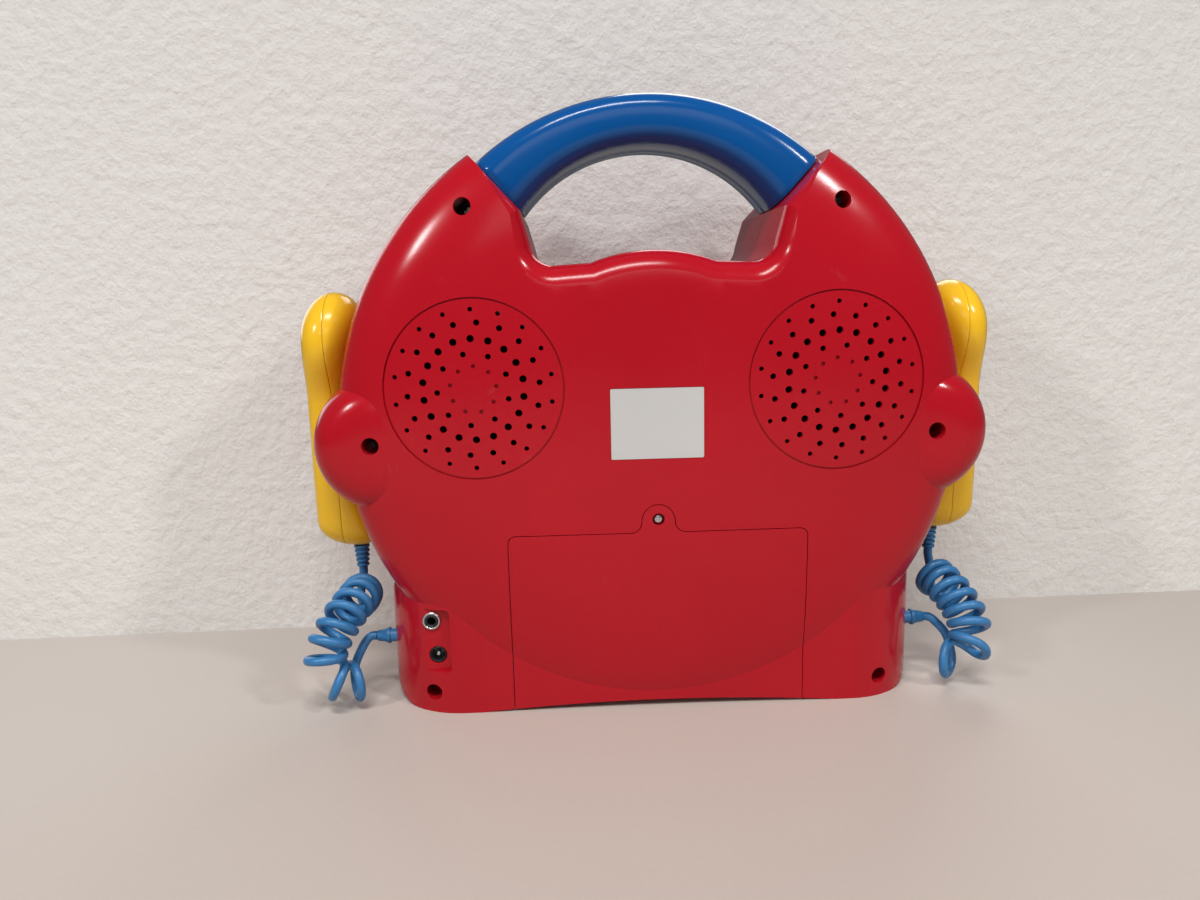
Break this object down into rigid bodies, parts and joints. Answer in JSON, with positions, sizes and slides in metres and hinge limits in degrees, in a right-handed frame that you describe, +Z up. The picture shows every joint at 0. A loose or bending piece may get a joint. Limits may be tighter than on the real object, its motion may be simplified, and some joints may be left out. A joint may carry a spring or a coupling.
{
  "type": "upright disc player with two microphones",
  "caption": "Domed upright player for discs on a rounded base, with a carrying handle, a battery door and speakers at the rear, and microphones on curly cords.",
  "frame": {"origin": "bottom centre of the bounding box of the solids without the two cords, on the plane that the base stands on", "axes": "+Z up, +X across towards the side with the power switch, front with the disc lid towards -Y, rear with the battery door towards +Y"},
  "size_m": [0.2932, 0.101, 0.2495],
  "materials": {
    "red_plastic": "gloss",
    "blue_plastic": "gloss",
    "yellow_plastic": "gloss",
    "white_plastic": "satin",
    "black_plastic": "matte",
    "clear_plastic": "clear",
    "blue_cord": "satin",
    "steel": "plated",
    "paper_cone": "pressed paper",
    "green_board": "solder mask",
    "display_grey": "gloss",
    "lens_glass": "polished"
  },
  "bodies": {
    "body": {"audio_jack": "black_plastic", "audio_jack_nut": "steel", "battery_box": "black_plastic", "battery_contact_bridge": "steel", "battery_contact_minus": "steel", "battery_contact_plus": "steel", "battery_spring_bridge": "steel", "battery_spring_minus": "steel", "case_screw_bottom_left": "steel", "case_screw_bottom_right": "steel", "case_screw_middle_left": "steel", "case_screw_middle_right": "steel", "case_screw_top_left": "steel", "case_screw_top_right": "steel", "cord_gland_left": "blue_cord", "cord_gland_right": "blue_cord", "cord_left": "blue_cord", "cord_right": "blue_cord", "deck_chassis": "steel", "disc_well": "black_plastic", "display": "display_grey", "front_cover": "red_plastic", "handle": "blue_plastic", "key_board": "green_board", "main_board": "green_board", "power_socket": "black_plastic", "rear_cover": "red_plastic", "sled_rod": "steel", "speaker_basket_left": "steel", "speaker_basket_right": "steel", "speaker_cone_left": "paper_cone", "speaker_cone_right": "paper_cone", "spindle_motor": "steel"},
    "lid": {"disc_lid": "red_plastic", "lid_window": "clear_plastic"},
    "battery_hatch": {"battery_door": "red_plastic", "battery_door_screw": "steel"},
    "turntable_hub": {"turntable": "black_plastic"},
    "pickup": {"pickup_sled": "black_plastic", "pickup_lens": "lens_glass"},
    "drive_gear": {"sled_gear": "white_plastic"},
    "skip_back_key": {"skip_back_button": "yellow_plastic"},
    "stop_key": {"stop_button": "yellow_plastic"},
    "play_key": {"play_button": "yellow_plastic"},
    "skip_forward_key": {"skip_forward_button": "yellow_plastic"},
    "open_key": {"open_button": "blue_plastic"},
    "volume_dial": {"volume_knob": "yellow_plastic"},
    "microphone_volume_dial": {"microphone_volume_knob": "yellow_plastic"},
    "switch_slider": {"power_switch": "white_plastic"},
    "left_microphone": {"microphone_left_capsule": "steel", "microphone_left_grille": "black_plastic", "microphone_left_inner_shell": "yellow_plastic", "microphone_left_outer_shell": "yellow_plastic", "microphone_left_relief": "blue_cord"},
    "right_microphone": {"microphone_right_capsule": "steel", "microphone_right_grille": "black_plastic", "microphone_right_inner_shell": "yellow_plastic", "microphone_right_outer_shell": "yellow_plastic", "microphone_right_relief": "blue_cord"}
  },
  "joints": [
    {"name": "lid_hinge", "type": "hinge", "parent": "body", "child": "lid", "pos_m": [0, -0.04253, 0.0545], "axis": [1, 0, 0], "range_deg": [0, 75]},
    {"name": "battery_door_lift_off", "type": "slide", "parent": "body", "child": "battery_hatch", "axis": [0, 1, 0], "range_m": [0, 0.04]},
    {"name": "disc_spindle", "type": "hinge", "parent": "body", "child": "turntable_hub", "pos_m": [0, -0.0393, 0.1188], "axis": [0, 1, 0], "continuous": true},
    {"name": "pickup_travel", "type": "slide", "parent": "body", "child": "pickup", "axis": [1, 0, 0], "range_m": [0, 0.026]},
    {"name": "gear_turn", "type": "hinge", "parent": "body", "child": "drive_gear", "pos_m": [0.039, -0.0323, 0.1414], "axis": [0, -1, 0], "range_deg": [0, 187]},
    {"name": "skip_back_press", "type": "slide", "parent": "body", "child": "skip_back_key", "axis": [0, 1, 0], "range_m": [0, 0.001], "stiffness_N_per_m": 400, "springref_m": -0.0006},
    {"name": "stop_press", "type": "slide", "parent": "body", "child": "stop_key", "axis": [0, 1, 0], "range_m": [0, 0.001], "stiffness_N_per_m": 400, "springref_m": -0.0006},
    {"name": "play_press", "type": "slide", "parent": "body", "child": "play_key", "axis": [0, 1, 0], "range_m": [0, 0.001], "stiffness_N_per_m": 400, "springref_m": -0.0006},
    {"name": "skip_forward_press", "type": "slide", "parent": "body", "child": "skip_forward_key", "axis": [0, 1, 0], "range_m": [0, 0.001], "stiffness_N_per_m": 400, "springref_m": -0.0006},
    {"name": "open_press", "type": "slide", "parent": "body", "child": "open_key", "axis": [0, 1, 0], "range_m": [0, 0.001], "stiffness_N_per_m": 400, "springref_m": -0.0006},
    {"name": "volume_turn", "type": "hinge", "parent": "body", "child": "volume_dial", "pos_m": [-0.083, -0.0445, 0.1188], "axis": [0, 1, 0], "range_deg": [0, 280]},
    {"name": "microphone_volume_turn", "type": "hinge", "parent": "body", "child": "microphone_volume_dial", "pos_m": [0.083, -0.0445, 0.1188], "axis": [0, 1, 0], "range_deg": [0, 280]},
    {"name": "power_switch_slide", "type": "slide", "parent": "body", "child": "switch_slider", "axis": [0, 0, 1], "range_m": [0, 0.004]},
    {"name": "left_microphone_lift_out", "type": "slide", "parent": "body", "child": "left_microphone", "axis": [-1, 0, 0], "range_m": [0, 0.045]},
    {"name": "right_microphone_lift_out", "type": "slide", "parent": "body", "child": "right_microphone", "axis": [1, 0, 0], "range_m": [0, 0.045]}
  ],
  "couplings": [
    {"joint": "gear_turn", "follows": "pickup_travel", "rad_per_m": 125}
  ]
}
